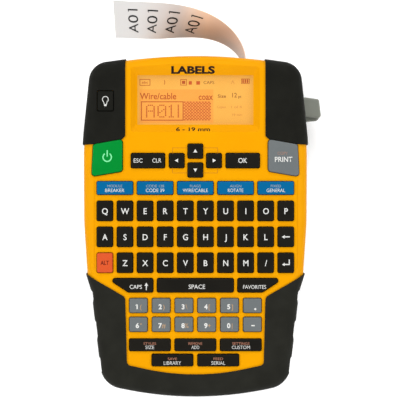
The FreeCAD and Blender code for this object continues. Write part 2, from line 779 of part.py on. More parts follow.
# ---------------------------------------------------------------- cutter

LEVER_ARM = 11.5
BAR_Y = LEVER[1] + LEVER_ARM


def build_lever():
    pad = [
        (66.2, 67.7, 1.5), (67.3, 57.5, 1.5), (53.0, 58.6, 3),
        (43.0, 62.2, 0), (43.0, 68.8, 0), (52.0, 69.6, 3),
    ]
    heel = [(66.9, 58.3, 0), (65.6, 56.6, 0.7), (52.0, 55.4, 2), (49.5, 60.5, 0), (60.0, 63.0, 0)]
    arm = rectangle(LEVER[0], LEVER[1] + 5.8, 3.6, 13.0, 1.2)
    solid = layered(
        "lever",
        ("pad", [(*LEVER, 3.8)], 8.6, 17.4),
        ("pad", [pad], 9.2, 13.6),
        ("pad", [heel], 9.2, 8.4),
        ("pad", [arm], 22.0, 4.0),
        ("pad", [(LEVER[0], BAR_Y, 1.1)], 26.0, 3.8),
        ("pocket", [(*LEVER, "dims.shaft_radius + 0.05")], 8.6, 18),
    )
    return rounded("lever_top", solid, 1.0, lambda e: e.BoundBox.XMin > 53 and e.BoundBox.ZMin > 22)


keep("cutter_lever", build_lever())
pin_height = "dims.plate_z + dims.plate_thickness - 3.5"
keep("lever_pin", layered("lever_axle", ("pad", [(*LEVER, "dims.shaft_radius")], 3.5, pin_height)))


HEXAGON = [math.pi / 3 * i for i in range(6)]


def build_lever_spring():
    """The lever's return spring, coiled round its lower bearing. It is a loft through round sections."""
    wire, radius, pitch, turns, steps = 0.35, 3.95, 0.95, 3, 14
    slope = math.atan2(pitch, 2 * math.pi * radius)
    sections = []
    for i in range(turns * steps + 1):
        angle = 2 * math.pi * i / steps
        place = Vector(radius * math.cos(angle), radius * math.sin(angle), 4.4 + pitch * i / steps)
        along = Vector(-math.sin(angle) * math.cos(slope), math.cos(angle) * math.cos(slope), math.sin(slope))
        out = Vector(math.cos(angle), math.sin(angle), 0)
        up = along.cross(out)
        corners = [place + out * (wire * math.cos(t)) + up * (wire * math.sin(t)) for t in HEXAGON]
        sections.append(Part.makePolygon(corners + corners[:1]))
    coil = Part.makeLoft(sections, True, True)
    coil.translate(Vector(*LEVER, 0))
    spring = doc.addObject("Part::Feature", "lever_spring_coil")
    spring.Shape = coil
    return spring


keep("lever_spring", build_lever_spring())


def build_carriage():
    bar = block("carriage_bar", 29.0, BAR_Y, 27.0, 30.0, 3.0, 3.0)
    end = block("carriage_end", 41.6, BAR_Y - 0.3, 27.0, 5.8, 4.4, 3.0)
    holder = block("blade_holder", 16.65, BAR_Y + 1.3, 5.6, 5.3, 2.4, 22.0)
    slot = block("carriage_slot", LEVER[0], BAR_Y - 0.25, 26.0, 2.6, 3.1, 5.0)
    return cut("carriage_cut", fuse("carriage_solid", bar, end, holder), slot)


keep("blade_carriage", build_carriage())
BLADE = [(22.9, 0.0, 0), (21.9, -0.5, 0), (14.6, -0.5, 0), (14.6, 0.0, 0)]
keep("cutter_blade", layered("blade", ("pad", [[(x, BAR_Y + 0.1 + y, r) for x, y, r in BLADE]], 6.0, 20.6)))
anvil = block("anvil_plate", 28.7, 77.8, "dims.back_plane + dims.skin", 3.0, 4.8, 28.5)
guide = block("guide_block", 34.0, BAR_Y, 25.5, 8.0, 6.6, 6.0)
guide_slot = block("guide_slot", 33.0, BAR_Y, 26.9, 20.0, 3.2, 3.2)
keep("cutter_guide", cut("guide_cut", fuse("guide_solid", anvil, guide), guide_slot))

# ---------------------------------------------------------------- cassette and tape

CASSETTE = {"left": -45.0, "right": 27.4, "low": 20.0, "top": 72.0, "z": 4.0, "height": 24.5}


def build_cassette():
    """The cassette's shell, open at one corner where the tape meets the print head."""
    c = CASSETTE
    width, height = c["right"] - c["left"], c["top"] - c["low"]
    middle = ((c["left"] + c["right"]) / 2, (c["low"] + c["top"]) / 2)
    outer = rectangle(*middle, width, height, 3.0)
    mouth = rectangle(24.6, 67.0, 10.4, 21.6)
    hollow = [rectangle(c["left"] + 1.2 + 31.0, middle[1], 62.0, height - 2.4, 2.0)]
    return layered(
        "cassette_shell",
        ("pad", [outer], c["z"], c["height"]),
        ("pocket", hollow, c["z"] + 1.2, c["height"] - 2.4),
        ("pocket", [mouth], c["z"] - 1, c["height"] + 2),
        ("pocket", [(*SPINDLE, 4.4)], c["z"] - 1, c["height"] + 2),
    )


keep("label_cassette", build_cassette())
keep(
    "tape_roll",
    layered(
        "roll",
        ("pad", [(-22.5, 46.0, 19.0)], "dims.tape_z - dims.tape_width / 2", "dims.tape_width"),
        ("pocket", [(-22.5, 46.0, 6.0)], "dims.tape_z - dims.tape_width / 2", "dims.tape_width"),
    ),
)

TAPE_START = 56.6
TAPE_FREE = 84.5
CURL_LENGTH = 94.1
CURL_STEPS = 120


def bend(share):
    """Curvature and twist of the free label, per millimetre, at a share of its length."""
    curvature = 0.0593 - 0.1152 * share + 0.057 * share**2
    return curvature, 0.015 + 0.0706 * share - 0.0922 * share**2


def label_frames():
    """Middle line, facing and width directions of the free label. The strip is bent without stretching,
    so its frame turns about its rulings, by its curvature and twist."""
    place = Vector(num("dims.tape_x"), TAPE_FREE, num("dims.tape_z"))
    along, facing, across = Vector(0, 1, 0), Vector(-1, 0, 0), Vector(0, 0, 1)
    frames = [(place, facing, across)]
    step = CURL_LENGTH / CURL_STEPS
    for i in range(CURL_STEPS):
        curvature, twist = bend((i + 0.5) / CURL_STEPS)
        turn = along * twist + across * curvature
        rotation = Rotation(turn, math.degrees(turn.Length * step))
        following = rotation.multVec(along)
        place = place + (along + following) * (step / 2)
        along, facing, across = following, rotation.multVec(facing), rotation.multVec(across)
        frames.append((place, facing, across))
    return frames


def tape_section(place, facing, across):
    """The tape's thin rectangle at one place."""
    side, thick = across * (num("dims.tape_width") / 2), facing * (num("dims.tape_thickness") / 2)
    corners = [place + side + thick, place + side - thick, place - side - thick, place - side + thick]
    return Part.makePolygon(corners + corners[:1])


def build_label():
    """The label: straight through the print head and the slot, then curling over to the left."""
    start = Vector(num("dims.tape_x"), TAPE_START, num("dims.tape_z"))
    frames = label_frames()
    straight = Part.makeLoft([tape_section(start, *frames[0][1:]), tape_section(*frames[0])], True, True)
    curl = Part.makeLoft([tape_section(*f) for f in frames[::8]], True, False)
    label = doc.addObject("Part::Feature", "label_strip")
    label.Shape = straight.fuse(curl)
    return label


keep("label_tape", build_label())

# ---------------------------------------------------------------- fasteners

CROSS = (rectangle(0, 0, 2.8, 0.7), rectangle(0, 0, 0.7, 2.8))


def build_screws():
    """Six screws, deep in their wells, from the rear housing into the front one."""
    heads = [(x, y, 2.8) for x, y in BOSSES]
    slots = [[(x + a, y + b, 0.0) for a, b, _ in CROSS[0]] for x, y in BOSSES]
    ticks = [[(x + a, y + b, 0.0) for a, b, _ in CROSS[1]] for x, y in BOSSES]
    return layered(
        "screws",
        ("pad", heads, 17.9, 2.1),
        ("pad", [(x, y, 1.45) for x, y in BOSSES], 20.0, 14.0),
        ("pocket", slots, 17.9, 1.2),
        ("pocket", ticks, 17.9, 1.2),
    )


keep("housing_screws", build_screws())

# ---------------------------------------------------------------- checks and files

doc.recompute()
failed = [o.Label for o in doc.Objects if "Invalid" in o.State or "Error" in o.State]
failed += [o.Label for o in PARTS if o.Shape.isNull() or not o.Shape.isValid() or not o.Shape.Solids]
if failed:
    raise SystemExit(f"failed: {failed}")
os.makedirs("parts", exist_ok=True)
for old in os.listdir("parts"):
    os.remove(os.path.join("parts", old))
for piece in PARTS:
    piece.Shape.exportStep(f"parts/{piece.Label}.step")
    print(piece.Label, len(piece.Shape.Solids), round(piece.Shape.Volume / 1000, 3), "cm3")
print(len(PARTS), "parts")
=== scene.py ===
import math

import bmesh
import bpy
from mathutils import Matrix, Vector
from mathutils.bvhtree import BVHTree


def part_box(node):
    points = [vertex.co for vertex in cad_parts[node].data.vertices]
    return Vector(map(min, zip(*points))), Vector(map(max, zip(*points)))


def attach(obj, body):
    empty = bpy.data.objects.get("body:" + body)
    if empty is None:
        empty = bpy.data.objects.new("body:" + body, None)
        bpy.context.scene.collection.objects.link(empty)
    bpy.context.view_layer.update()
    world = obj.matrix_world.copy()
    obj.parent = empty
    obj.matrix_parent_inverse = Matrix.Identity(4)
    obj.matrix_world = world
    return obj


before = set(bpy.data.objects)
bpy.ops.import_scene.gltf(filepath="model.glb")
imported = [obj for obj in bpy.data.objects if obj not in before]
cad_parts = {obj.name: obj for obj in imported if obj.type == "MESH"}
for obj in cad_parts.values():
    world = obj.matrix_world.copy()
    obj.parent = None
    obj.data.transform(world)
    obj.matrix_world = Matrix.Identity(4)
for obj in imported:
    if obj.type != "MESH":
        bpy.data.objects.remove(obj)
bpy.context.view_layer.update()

# Lengths in this script are in millimetres in the CAD's frame, and become metres where a mesh is made.

MM = 0.001
FACE = 50.0  # height of the keyboard face
CAMERA_ABOVE_FACE = 700.0
VIEW_WIDTH = 206.0  # how much of the keyboard face's plane the camera takes in
VIEW_CENTRE = (2.4, 13.7)
SENSOR = 36.0
WELD = 1e-7  # vertices nearer than this, in metres, are one

# ---------------------------------------------------------------- materials

LIGHT = 1.56  # how brightly a sheet facing up is lit, so that srgb() gives the colour as it is seen
GLOW_BASE = 0.3  # how much of a display colour is in the surface itself; the rest is its own light
SUNK_LIGHT = 0.8  # how much of the light reaches the sunk display


def linear(part):
    """A 0 to 255 part of a shown colour as a linear value. Parts over 255 are for a face that is in shade."""
    part /= 255
    return part / 12.92 if part <= 0.04045 else ((part + 0.055) / 1.055) ** 2.4


def srgb(*parts):
    """A base colour that looks like these 0 to 255 parts when it faces up in this scene's light."""
    return tuple(linear(part) / LIGHT for part in parts) + (1.0,)


def glow(*parts):
    """A lit colour, whatever light falls on it."""
    return tuple(linear(part) for part in parts) + (1.0,)


class Surface:
    """A Principled material whose colour, roughness and bump come from a few noises in object space."""

    def __init__(self, name, colour, roughness, specular=0.5, metallic=0.0):
        self.material = bpy.data.materials.new(name)
        self.material.use_nodes = True
        self.tree = self.material.node_tree
        self.shader = self.tree.nodes["Principled BSDF"]
        self.colour, self.roughness = colour, roughness
        self.shader.inputs["Base Color"].default_value = colour
        self.shader.inputs["Roughness"].default_value = roughness
        self.shader.inputs["Specular IOR Level"].default_value = specular
        self.shader.inputs["Metallic"].default_value = metallic
        self.place = self.tree.nodes.new("ShaderNodeTexCoord").outputs["Object"]
        self.bumped = None

    def node(self, kind, **values):
        made = self.tree.nodes.new(kind)
        for key, value in values.items():
            if key in made.inputs:
                made.inputs[key].default_value = value
            else:
                setattr(made, key, value)
        return made

    def noise(self, size, detail=2.0, stretch=(1, 1, 1), kind="ShaderNodeTexNoise"):
        """A noise whose features are about size millimetres across."""
        mapping = self.node("ShaderNodeMapping")
        mapping.inputs["Scale"].default_value = stretch
        self.tree.links.new(self.place, mapping.inputs["Vector"])
        texture = self.node(kind, Scale=1 / (size * MM))
        if "Detail" in texture.inputs:
            texture.inputs["Detail"].default_value = detail
        self.tree.links.new(mapping.outputs["Vector"], texture.inputs["Vector"])
        return texture.outputs["Fac"] if "Fac" in texture.outputs else texture.outputs["Distance"]

    def vary_colour(self, size, other, low=0.35, high=0.7, **options):
        """Blends the colour towards another one, in patches."""
        ramp = self.node("ShaderNodeValToRGB")
        ramp.color_ramp.elements[0].position, ramp.color_ramp.elements[1].position = low, high
        ramp.color_ramp.elements[0].color, ramp.color_ramp.elements[1].color = self.colour, other
        self.tree.links.new(self.noise(size, **options), ramp.inputs["Fac"])
        self.tree.links.new(ramp.outputs["Color"], self.shader.inputs["Base Color"])
        return self

    def vary_roughness(self, size, spread, **options):
        """Makes the gloss uneven, in patches."""
        spanned = self.node("ShaderNodeMapRange")
        spanned.inputs["To Min"].default_value = self.roughness - spread
        spanned.inputs["To Max"].default_value = self.roughness + spread
        self.tree.links.new(self.noise(size, **options), spanned.inputs["Value"])
        self.tree.links.new(spanned.outputs["Result"], self.shader.inputs["Roughness"])
        return self

    def bump(self, size, depth, **options):
        """Relief of about depth millimetres, on top of any bump already there."""
        bump = self.node("ShaderNodeBump", Strength=1.0, Distance=depth * MM)
        self.tree.links.new(self.noise(size, **options), bump.inputs["Height"])
        if self.bumped:
            self.tree.links.new(self.bumped, bump.inputs["Normal"])
        self.bumped = bump.outputs["Normal"]
        self.tree.links.new(self.bumped, self.shader.inputs["Normal"])
        return self

    def set(self, **values):
        for key, value in values.items():
            self.shader.inputs[key.replace("_", " ")].default_value = value
        return self


def plastic(name, colour, other, roughness=0.42, specular=0.4, grain=0.35, depth=0.006):
    """Moulded plastic: faint flow marks in its colour, uneven gloss and a fine spark-eroded grain."""
    surface = Surface(name, colour, roughness, specular)
    return surface.vary_colour(18, other).vary_roughness(6, 0.06).bump(grain, depth).material


def metal(name, colour, roughness, stretch):
    """Brushed or drawn metal, its lines along the direction that stretch makes long."""
    surface = Surface(name, colour, roughness, 0.5, 1.0)
    surface.vary_roughness(1.2, 0.1, stretch=stretch)
    return surface.bump(0.5, 0.004, stretch=stretch).material


def ink(name, colour, other, specular=0.2, patch=0.6, roughness=0.5):
    """Printed ink, a little uneven. It also paints the shade line in the deck's crease."""
    return Surface(name, srgb(*colour), roughness, specular).vary_colour(patch, srgb(*other))


M = {
    "yellow": plastic("housing_yellow", srgb(251, 171, 0), srgb(249, 167, 0), 0.46, 0.03, 0.45, 0.006),
    "charcoal": plastic("housing_charcoal", srgb(48, 49, 50), srgb(54, 55, 55), 0.55, 0.3, 0.5, 0.02),
    "green": plastic("green_key", srgb(0, 148, 56), srgb(0, 142, 50), 0.4, 0.05, 0.3, 0.004),
    "grey": plastic("grey_key", srgb(110, 116, 118), srgb(115, 120, 121), 0.45, 0.2, 0.3, 0.004),
    "blue": plastic("blue_key", srgb(0, 106, 160), srgb(0, 101, 153), 0.42, 0.06, 0.3, 0.004),
    "black": plastic("black_key", srgb(19, 17, 11), srgb(25, 22, 14), 0.5, 0.1, 0.3, 0.004),
    "orange": plastic("orange_key", srgb(226, 90, 42), srgb(221, 85, 38), 0.45, 0.12, 0.3, 0.004),
    "lever": plastic("lever_plastic", srgb(142, 146, 134), srgb(148, 151, 140), 0.48, 0.3, 0.4, 0.006),
    "gear": plastic("gear_plastic", srgb(233, 229, 214), srgb(226, 221, 204), 0.4, 0.4, 0.5, 0.004),
    "smoke": plastic("cassette_plastic", srgb(60, 62, 66), srgb(66, 68, 72), 0.4, 0.4, 0.4, 0.006),
    "tray": plastic("tray_plastic", srgb(30, 30, 31), srgb(36, 36, 37), 0.6, 0.3, 0.5, 0.01),
    "ceramic": plastic("head_ceramic", srgb(228, 222, 206), srgb(218, 210, 192), 0.25, 0.5, 0.6, 0.002),
    "steel": metal("brushed_steel", srgb(190, 190, 188), 0.32, (1, 0.08, 1)),
    "aluminium": metal("machined_aluminium", srgb(200, 202, 204), 0.35, (0.08, 1, 1)),
    "can": metal("plated_can", srgb(182, 182, 178), 0.28, (1, 1, 0.05)),
    "brass": metal("turned_brass", srgb(214, 172, 92), 0.3, (1, 1, 0.1)),
    "white_ink": ink("legend_white", (240, 240, 236), (228, 228, 224)).bump(0.15, 0.003).material,
    "mint_ink": ink("legend_mint", (140, 250, 178), (128, 242, 168)).material,
    "rust_ink": ink("legend_rust", (190, 130, 106), (176, 116, 94)).material,
    "pale_ink": ink("legend_pale", (160, 176, 186), (150, 166, 178)).material,
    "tan_ink": ink("legend_tan", (196, 164, 130), (186, 152, 118)).material,
    "copy_ink": ink("legend_copper", (176, 136, 118), (166, 124, 106)).material,
    "brown_ink": ink("legend_brown", (112, 28, 16), (104, 24, 14), 0.1).material,
    "dark_ink": ink("print_dark", (30, 12, 4), (24, 9, 3), 0.1).material,
    "black_ink": ink("print_black", (20, 18, 18), (30, 28, 28), 0.2, 0.5, 0.45).material,
    # Painted shade: a darker amber for the shade in the crease where each side bevel of the deck meets its
    # flat.
    "edge_ink": ink("deck_edge", (241, 160, 0), (237, 156, 0), 0.03, 0.8, 0.46).material,
    "line_ink": ink("print_amber", (214, 140, 0), (206, 132, 0), 0.2, 0.8).material,
}

for key, tone in (("rubber", 18), ("grip", 31)):
    rubber = Surface("black_" + key, srgb(tone, tone, tone - 6), 0.72, 0.1)
    rubber.vary_colour(9, srgb(tone + 6, tone + 6, tone)).vary_roughness(3, 0.08)
    M[key] = rubber.bump(0.55, 0.03).bump(0.2, 0.012).material
mat_rubber = Surface("grey_rubber", srgb(150, 152, 150), 0.6, 0.3)
M["mat"] = mat_rubber.vary_colour(12, srgb(158, 160, 158)).bump(0.4, 0.01).material
roller = Surface("roller_rubber", srgb(34, 34, 36), 0.6, 0.3)
M["roller"] = roller.vary_colour(5, srgb(44, 44, 46)).bump(0.3, 0.01, stretch=(1, 1, 0.2)).material

board = Surface("circuit_board", srgb(12, 84, 44), 0.35, 0.5)
board.vary_colour(1.4, srgb(20, 104, 56), 0.48, 0.52, stretch=(1, 0.3, 1))
M["board"] = board.bump(1.4, 0.02).material
cell = Surface("cell_wrap", srgb(34, 62, 112), 0.3, 0.5)
M["cell"] = cell.vary_colour(14, srgb(40, 70, 124)).vary_roughness(2, 0.05).bump(3, 0.01).material


def display_glow(name, colour, other, size):
    """Backlit display: most of what is seen is its own light, a little uneven."""
    surface = Surface(name, tuple(c * GLOW_BASE for c in colour[:3]) + (1.0,), 0.4, 0.2)
    surface.vary_colour(size, tuple(c * GLOW_BASE for c in other[:3]) + (1.0,))
    colour_out = surface.shader.inputs["Base Color"].links[0].from_socket
    surface.tree.links.new(colour_out, surface.shader.inputs["Emission Color"])
    lit_share = GLOW_BASE * LIGHT * SUNK_LIGHT
    return surface.set(Emission_Strength=(1 - lit_share) / GLOW_BASE).material


M["display"] = display_glow("display_amber", glow(252, 180, 70), glow(252, 184, 76), 16)
M["field"] = display_glow("display_field", glow(255, 166, 60), glow(255, 170, 66), 8)
M["segment"] = display_glow("segment_dark", glow(196, 84, 12), glow(188, 76, 8), 1.5)
M["segment_mid"] = display_glow("segment_mid", glow(250, 160, 66), glow(244, 152, 60), 1.5)
M["segment_deep"] = display_glow("segment_deep", glow(208, 84, 18), glow(200, 76, 14), 1.5)
M["segment_faint"] = display_glow("segment_faint", glow(226, 142, 58), glow(218, 132, 50), 1.5)
M["segment_brown"] = display_glow("segment_brown", glow(150, 82, 20), glow(140, 74, 16), 1.5)

lens = Surface("clear_window", (0.3, 0.26, 0.2, 1.0), 0.08, 0.5).vary_roughness(8, 0.03)
M["lens"] = lens.set(Alpha=0.04, Coat_Weight=0.2).material


def label_stock():
    """White label stock. The warm, pinkish tone that grows from partway along the strip to the exit is
    painted reflection of the yellow housing and painted shade; the stock itself is white.
    """
    surface = Surface("label_white", srgb(240, 239, 236), 0.42, 0.35)
    surface.bump(4, 0.01).bump(0.3, 0.003)
    # Painted reflection and shade: this ramp along the strip tints the white stock warm and pinkish towards
    # the exit.
    ramp = surface.node("ShaderNodeValToRGB")
    free_end, exit_end = ramp.color_ramp.elements
    free_end.position, free_end.color = 0.0, srgb(236, 234, 232)
    exit_end.position, exit_end.color = 1.0, srgb(276, 239, 214)
    ramp.color_ramp.elements.new(0.45).color = srgb(226, 216, 211)
    ramp.color_ramp.elements.new(0.75).color = srgb(284, 245, 214)
    split = surface.node("ShaderNodeSeparateXYZ")
    span = surface.node("ShaderNodeMapRange")
    span.inputs["From Min"].default_value, span.inputs["From Max"].default_value = -26 * MM, 22 * MM
    soft = surface.noise(30)
    add = surface.node("ShaderNodeMath", operation="MULTIPLY_ADD")
    add.inputs[1].default_value = 8 * MM
    surface.tree.links.new(surface.place, split.inputs[0])
    surface.tree.links.new(soft, add.inputs[0])
    surface.tree.links.new(split.outputs["X"], add.inputs[2])
    surface.tree.links.new(add.outputs[0], span.inputs["Value"])
    surface.tree.links.new(span.outputs["Result"], ramp.inputs["Fac"])
    surface.tree.links.new(ramp.outputs["Color"], surface.shader.inputs["Base Color"])
    return surface.material


M["label"] = label_stock()
roll = Surface("tape_wound", srgb(226, 225, 220), 0.5, 0.3)
M["roll"] = roll.vary_colour(2, srgb(210, 208, 202)).bump(0.4, 0.02, stretch=(1, 1, 0.05)).material

NODE_MATERIALS = {
    "yellow": ["front_housing"],
    "charcoal": ["rear_housing", "cassette_door", "battery_door"],
    "rubber": ["left_bumper", "right_bumper", "light_button"],
    "grip": ["grip_bumper"],
    "green": ["power_key"],
    "grey": ["print_key", "upper_number_keys", "lower_number_keys"],
    "blue": ["label_type_keys"],
    "orange": ["alt_key"],
    "black": [
        "escape_clear_key", "ok_key", "up_key", "down_key", "left_key", "right_key", "top_letter_keys",
        "middle_letter_keys", "bottom_letter_keys", "backspace_key", "enter_key", "caps_key", "space_key",
        "favourites_key", "format_keys", "library_keys", "power_socket",
    ],
    "lens": ["display_window"],
    "display": ["display_module"],
    "board": ["main_board"],
    "mat": ["keypad_mat"],
    "cell": ["battery_cells"],
    "tray": ["battery_tray", "cutter_guide"],
    "steel": [
        "battery_contacts", "mechanism_plate", "platen_shaft", "lever_pin", "lever_spring", "cutter_blade",
        "housing_screws",
    ],
    "aluminium": ["head_bracket"],
    "can": ["feed_motor"],
    "brass": ["motor_pinion"],
    "roller": ["platen_roller"],
    "gear": ["platen_gear", "idler_gear", "ribbon_spindle", "blade_carriage"],
    "ceramic": ["print_head"],
    "lever": ["cutter_lever"],
    "smoke": ["label_cassette"],
    "roll": ["tape_roll"],
    "label": ["label_tape"],
}


def finish_nodes():
    """Gives each carried-over part its material."""
    for key, names in NODE_MATERIALS.items():
        for name in names:
            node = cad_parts[name]
            node.data.materials.clear()
            node.data.materials.append(M[key])


finish_nodes()

# ---------------------------------------------------------------- meshes for printed matter

ROW_GAP = 4.0  # keys whose middles differ by less than about this are in one row


def islands(name):
    """The middle and the top, (x, y, z), of each separate piece of a node, left to right by rows."""
    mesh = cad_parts[name].data
    parent = list(range(len(mesh.vertices)))

    def root(i):
        while parent[i] != i:
            parent[i] = parent[parent[i]]
            i = parent[i]
        return i

    seen = {}
    for v in mesh.vertices:
        key = tuple(round(c, 6) for c in v.co)
        if key in seen:
            parent[root(v.index)] = root(seen[key])
        else:
            seen[key] = v.index
    for e in mesh.edges:
        parent[root(e.vertices[0])] = root(e.vertices[1])
    groups = {}
    for v in mesh.vertices:
        groups.setdefault(root(v.index), []).append(v.co / MM)
    boxes = []
    for points in groups.values():
        low = [min(p[k] for p in points) for k in range(3)]
        high = [max(p[k] for p in points) for k in range(3)]
        boxes.append(((low[0] + high[0]) / 2, (low[1] + high[1]) / 2, high[2]))
    return sorted(boxes, key=lambda b: (-round(b[1] / ROW_GAP), b[0]))


def letters_mesh(string, weight=0.0):
    """A flat mesh of a word in the built-in face at size 1, its outlines moved out by weight."""
    curve = bpy.data.curves.new("word", "FONT")
    curve.body, curve.size = string, 1.0
    curve.offset = weight
    curve.resolution_u = 4
    holder = bpy.data.objects.new("word", curve)
    bpy.context.scene.collection.objects.link(holder)
    bpy.context.view_layer.update()
    mesh = bpy.data.meshes.new_from_object(holder.evaluated_get(bpy.context.evaluated_depsgraph_get()))
    bpy.data.objects.remove(holder)
    return mesh


def cut(bm, along, places):
    """Cuts a mesh by planes square to an axis, so that it can follow a curved face."""
    for place in places:
        geom = bm.verts[:] + bm.edges[:] + bm.faces[:]
        bmesh.ops.bisect_plane(bm, geom=geom, plane_co=Vector(along) * place, plane_no=along)


ABOVE_ALL = 60.0  # a height over every part of the housing
WORDS_REACH = 14  # how far the words on the housing reach from the middle
BANDS = 8  # how many bands each is cut into from top to bottom
CAP = max(v.co.y for v in letters_mesh("H").vertices)  # how tall a capital of size 1 stands


class Print:
    """Thin printed matter on one body, and the deck's painted shade lines: letters and shapes of one colour,
    joined into one mesh.
    """

    THICK = 0.03  # how far it stands over the face
    SINK = 0.01  # how far its edges reach into the face

    def __init__(self, name, body, key, slot):
        self.name, self.body, self.key, self.slot = name, body, key, slot
        self.bm = bmesh.new()

    def add(self, outlines, z):
        """Flat polygons at height z, raised a little."""
        for outline in outlines:
            low = [self.bm.verts.new((x * MM, y * MM, (z - self.SINK) * MM)) for x, y in outline]
            high = [self.bm.verts.new((x * MM, y * MM, (z + self.THICK) * MM)) for x, y in outline]
            self.bm.faces.new(high)
            count = len(outline)
            for i in range(count):
                j = (i + 1) % count
                self.bm.faces.new((low[i], low[j], high[j], high[i]))
        return self

    def text(self, string, x, y, z, cap, width=None, weight=0.0, squeeze=1.0):
        """A word centred at x, y with capitals cap millimetres high, stretched to a width if one is given."""
        mesh = letters_mesh(string, weight)
        xs = [v.co.x for v in mesh.vertices]
        low, high = min(xs), max(xs)
        tall = cap / CAP
        wide = width / (high - low) if width else tall * squeeze
        for v in mesh.vertices:
            across, up = (v.co.x - (low + high) / 2) * wide, (v.co.y - CAP / 2) * tall
            v.co = Vector(((x + across) * MM, (y + up) * MM, (z + self.THICK) * MM))
        self.bm.from_mesh(mesh)
        bpy.data.meshes.remove(mesh)
        return self

    def lay_on(self, name):
        """Drops everything added so far onto a node's face, to follow a slope."""
        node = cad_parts[name]
        polygons = [p.vertices[:] for p in node.data.polygons]
        tree = BVHTree.FromPolygons([v.co for v in node.data.vertices], polygons)
        ups = [v.co.y for v in self.bm.verts]
        low, high = min(ups), max(ups)
        cut(self.bm, (1, 0, 0), [k * MM for k in range(-WORDS_REACH, WORDS_REACH)])
        cut(self.bm, (0, 1, 0), [low + (high - low) * k / BANDS for k in range(1, BANDS)])
        for v in self.bm.verts:
            hit = tree.ray_cast(Vector((v.co.x, v.co.y, ABOVE_ALL * MM)), Vector((0, 0, -1)))[0]
            v.co.z = hit.z + self.THICK * MM
        return self

    def done(self):
        bmesh.ops.remove_doubles(self.bm, verts=self.bm.verts, dist=WELD)
        mesh = bpy.data.meshes.new(self.name)
        self.bm.to_mesh(mesh)
        self.bm.free()
        piece = bpy.data.objects.new(self.name, mesh)
        bpy.context.scene.collection.objects.link(piece)
        mesh.materials.append(M[self.key])
        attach(piece, self.body)
        return piece


def bar(x0, y0, x1, y1):
    return [(x0, y0), (x1, y0), (x1, y1), (x0, y1)]


def frame_lines(x0, y0, x1, y1, line):
    """Four bars round a rectangle's inside."""
    return [
        bar(x0, y0, x1, y0 + line),
        bar(x0, y1 - line, x1, y1),
        bar(x0, y0 + line, x0 + line, y1 - line),
        bar(x1 - line, y0 + line, x1, y1 - line),
    ]


def ring(x, y, radius, line, start=0.0, sweep=360.0, steps=32):
    """Short quads along an arc of a line's width."""
    quads = []
    for i in range(steps):
        a = math.radians(start + sweep * i / steps)
        b = math.radians(start + sweep * (i + 1) / steps)
        inner, outer = radius - line / 2, radius + line / 2
        quads.append(
            [
                (x + inner * math.cos(a), y + inner * math.sin(a)),
                (x + outer * math.cos(a), y + outer * math.sin(a)),
                (x + outer * math.cos(b), y + outer * math.sin(b)),
                (x + inner * math.cos(b), y + inner * math.sin(b)),
            ]
        )
    return quads


def stroke(points, line):
    """Quads of a line's width along a run of points."""
    quads = []
    for (ax, ay), (bx, by) in zip(points, points[1:]):
        length = math.hypot(bx - ax, by - ay)
        nx, ny = -(by - ay) / length * line / 2, (bx - ax) / length * line / 2
        quads.append([(ax + nx, ay + ny), (ax - nx, ay - ny), (bx - nx, by - ny), (bx + nx, by + ny)])
    return quads


def one(x, y, height, line):
    """The figure 1 with its flag, centred at x, y."""
    top, tip = height / 2, -line * 1.35
    half = line / 2
    flag = [(tip, top - line * 1.15), (-half, top - line * 0.6), (-half, top), (tip, top - half)]
    return shifted([bar(-half, -top, half, top), flag], x, y)


def shifted(outlines, x, y):
    return [[(px + x, py + y) for px, py in outline] for outline in outlines]


# ---------------------------------------------------------------- key legends

LETTER = {"cap": 2.95, "weight": 0.012, "squeeze": 0.92}


def letter_legends():
    rows = (
        ("top_letter_keys", "QWERTYUIOP"),
        ("middle_letter_keys", "ASDFGHJKL"),
        ("bottom_letter_keys", "ZXCVBNM/"),
    )
    for node, letters in rows:
        legend = Print(node.replace("keys", "legends"), node, "white_ink", "black_key")
        for (x, y, top), letter in zip(islands(node), letters):
            legend.text(letter, x + 0.1, y - 0.15, top, **LETTER)
        legend.done()


letter_legends()


def number_legends():
    rows = (
        ("upper_number_keys", "12345.", "()\\[] "),
        ("lower_number_keys", "67890-", "°#%+| "),
    )
    for node, digits, seconds in rows:
        white = Print(node.replace("keys", "legends"), node, "white_ink", "grey_key")
        tan = Print(node.replace("keys", "symbols"), node, "tan_ink", "grey_key")
        for (x, y, top), digit, second in zip(islands(node), digits, seconds):
            if digit == ".":
                white.add(shifted(ring(0, 0, 0.28, 0.56, steps=12), x + 1.5, y - 1.8), top)
            elif digit == "-":
                white.add([bar(x - 0.55, y - 0.85, x + 1.25, y - 0.25)], top)
            else:
                if digit == "1":
                    white.add(one(x - 0.6, y - 0.6, 2.45, 0.62), top)
                else:
                    white.text(digit, x - 0.45, y - 0.6, top, 2.35, weight=0.035)
                tan.text(second, x + 1.35, y - 0.6, top, 2.3, weight=0.004)
        white.done()
        tan.done()


number_legends()


def two_line_legends(node, words, second_key, slot, cap, second_cap, drop, rise):
    """A white word with a smaller coloured one above it, on each key. words: (word, width, second, width)."""
    white = Print(node.replace("keys", "legends"), node, "white_ink", slot)
    small = Print(node.replace("keys", "second_legends"), node, second_key, slot)
    for (x, y, top), (word, width, second, second_width) in zip(islands(node), words):
        white.text(word, x, y - drop, top, cap, width, -0.004)
        small.text(second, x, y + rise, top, second_cap, second_width, 0.0)
    white.done()
    small.done()


